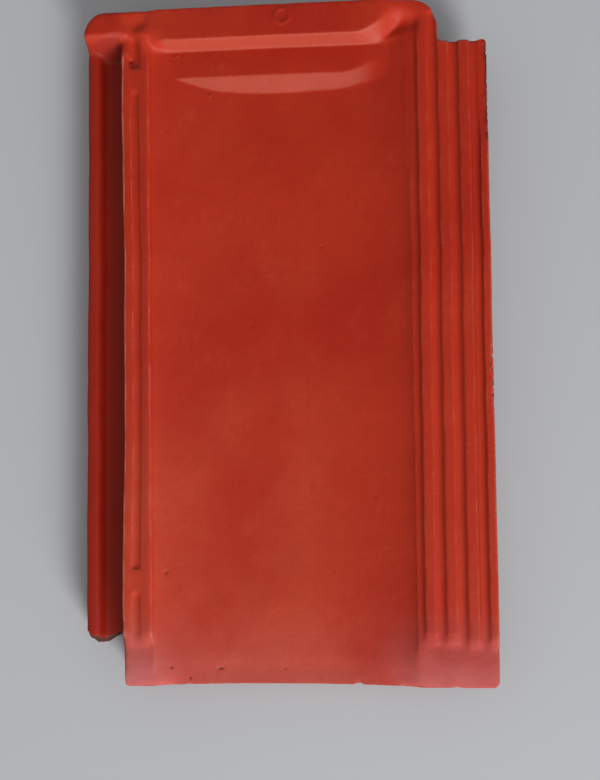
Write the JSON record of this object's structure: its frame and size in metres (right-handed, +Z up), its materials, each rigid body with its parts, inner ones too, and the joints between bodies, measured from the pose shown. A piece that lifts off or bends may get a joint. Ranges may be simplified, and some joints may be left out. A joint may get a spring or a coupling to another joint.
{
  "type": "clay roof tile",
  "caption": "Pressed interlocking clay roof tile with a dished pan, a raised head lip, an underlock channel and a ribbed overlock strip.",
  "frame": {"origin": "centre of the tile's outline on the plane its four lugs stand on", "axes": "+X across the tile towards the overlock strip, +Y up the roof slope towards the head, +Z up out of the weathered face"},
  "size_m": [0.257, 0.425, 0.0358],
  "materials": {
    "fired_clay": "matt red-slipped fired clay"
  },
  "bodies": {
    "root": {"roof_tile": "fired_clay"}
  },
  "joints": []
}
